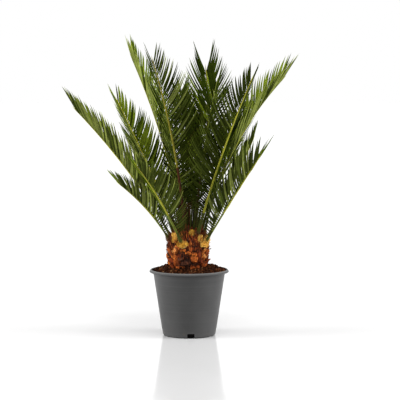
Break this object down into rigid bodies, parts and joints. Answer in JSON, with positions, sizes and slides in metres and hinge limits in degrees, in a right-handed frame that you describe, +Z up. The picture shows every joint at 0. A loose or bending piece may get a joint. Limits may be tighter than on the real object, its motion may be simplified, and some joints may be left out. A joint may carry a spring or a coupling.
{
  "type": "potted sago palm",
  "caption": "Young sago palm with a short scaly trunk and stiff feather-shaped fronds, in a tapered grey nursery pot with a rolled rim.",
  "frame": {"origin": "centre of the pot's flat underside", "axes": "+Z up the plant, -Y towards the viewer of the picture, +X to the picture's right"},
  "size_m": [0.6284, 0.5305, 0.7934],
  "materials": {
    "pot_grey": "matt moulded plastic with a faint grain",
    "soil_brown": "coarse damp potting mix of bark and peat",
    "trunk_brown": "rough old leaf bases with rust-brown scales and yellow wool",
    "frond_green": "waxy dark green leaflets on a yellow-green rib"
  },
  "bodies": {
    "root": {"pot": "pot_grey", "potting_soil": "soil_brown", "trunk": "trunk_brown", "frond_far_left": "frond_green", "frond_front_left": "frond_green", "frond_low_left": "frond_green", "frond_mid_left": "frond_green", "frond_top_left": "frond_green", "frond_front": "frond_green", "frond_top": "frond_green", "frond_right": "frond_green", "frond_far_right": "frond_green", "frond_low_right": "frond_green", "frond_low_right_back": "frond_green", "frond_inner_right": "frond_green", "frond_inner_back": "frond_green", "frond_back": "frond_green", "frond_back_right": "frond_green", "frond_back_left": "frond_green"}
  },
  "joints": []
}
